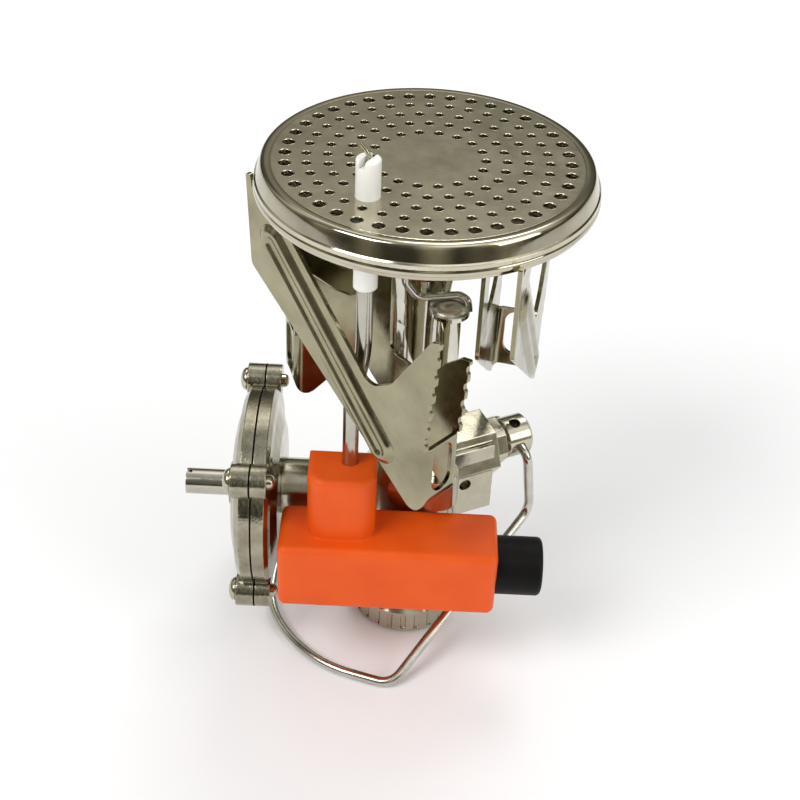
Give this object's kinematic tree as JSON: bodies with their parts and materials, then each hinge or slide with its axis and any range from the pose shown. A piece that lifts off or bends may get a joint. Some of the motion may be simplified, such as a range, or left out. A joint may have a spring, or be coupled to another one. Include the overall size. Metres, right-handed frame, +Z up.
{
  "type": "camping stove",
  "caption": "Packed canister-top gas stove: perforated round burner, folding toothed pot supports, pressure regulator, piezo igniter and wire valve handle.",
  "frame": {"origin": "centre of the canister socket at the lower face of the threaded collar", "axes": "+Z up along the burner axis; +X along the igniter case, from the regulator to the push button; -Y is the side of the igniter case"},
  "size_m": [0.0655, 0.0528, 0.0982],
  "materials": {
    "machined_aluminium": "turned",
    "cast_aluminium": "satin nickel",
    "stainless": "satin",
    "burner_steel": "satin, slightly warm",
    "support_steel": "brushed",
    "steel_wire": "drawn",
    "chrome_tube": "polished",
    "brass": "machined",
    "rubber": "matte",
    "orange_plastic": "fine moulded",
    "black_plastic": "semi gloss",
    "piezo": "matte",
    "ceramic": "glazed",
    "lead_sleeve": "woven sleeve"
  },
  "bodies": {
    "stove": {"burner_baffle": "burner_steel", "burner_cap": "burner_steel", "burner_pan": "burner_steel", "burner_post": "stainless", "button_spring": "steel_wire", "canister_collar": "machined_aluminium", "canister_seal": "rubber", "diaphragm": "rubber", "electrode_ceramic": "ceramic", "electrode_wire": "steel_wire", "gland_nut": "stainless", "hinge_lugs": "stainless", "hinge_wire_a": "steel_wire", "hinge_wire_b": "steel_wire", "hinge_wire_c": "steel_wire", "igniter_case": "orange_plastic", "ignition_lead": "lead_sleeve", "jet": "brass", "mixing_band": "stainless", "mixing_tube": "chrome_tube", "piezo_unit": "piezo", "post_nut": "stainless", "regulator_body": "cast_aluminium", "regulator_cover": "cast_aluminium", "regulator_screws": "stainless", "regulator_spring": "steel_wire", "regulator_stud": "stainless", "valve_body": "cast_aluminium", "valve_pin": "brass"},
    "support_a": {"pot_support_a": "support_steel"},
    "support_b": {"pot_support_b": "support_steel"},
    "support_c": {"pot_support_c": "support_steel"},
    "valve_spindle": {"valve_stem": "stainless"},
    "handle": {"wire_handle": "steel_wire"},
    "button": {"igniter_button": "black_plastic"}
  },
  "joints": [
    {"name": "support_a_fold", "type": "hinge", "parent": "stove", "child": "support_a", "pos_m": [-0.00588, -0.01341, 0.085], "axis": [-0.6691, -0.7431, 0], "range_deg": [0, 94]},
    {"name": "support_b_fold", "type": "hinge", "parent": "stove", "child": "support_b", "pos_m": [0.01455, 0.00161, 0.085], "axis": [0.9781, -0.2079, 0], "range_deg": [0, 94]},
    {"name": "support_c_fold", "type": "hinge", "parent": "stove", "child": "support_c", "pos_m": [-0.00867, 0.0118, 0.085], "axis": [-0.309, 0.9511, 0], "range_deg": [0, 94]},
    {"name": "valve_turn", "type": "hinge", "parent": "stove", "child": "valve_spindle", "pos_m": [0, 0, 0.033], "axis": [0.891, 0.454, 0], "range_deg": [-14, 6]},
    {"name": "handle_swing", "type": "hinge", "parent": "valve_spindle", "child": "handle", "pos_m": [0.01786, 0.0091, 0.033], "axis": [0.454, -0.891, 0], "range_deg": [0, 130]},
    {"name": "button_press", "type": "slide", "parent": "stove", "child": "button", "axis": [-1, 0, 0], "range_m": [0, 0.003], "stiffness_N_per_m": 150, "springref_m": -0.002, "deforming": ["button_spring"]}
  ]
}
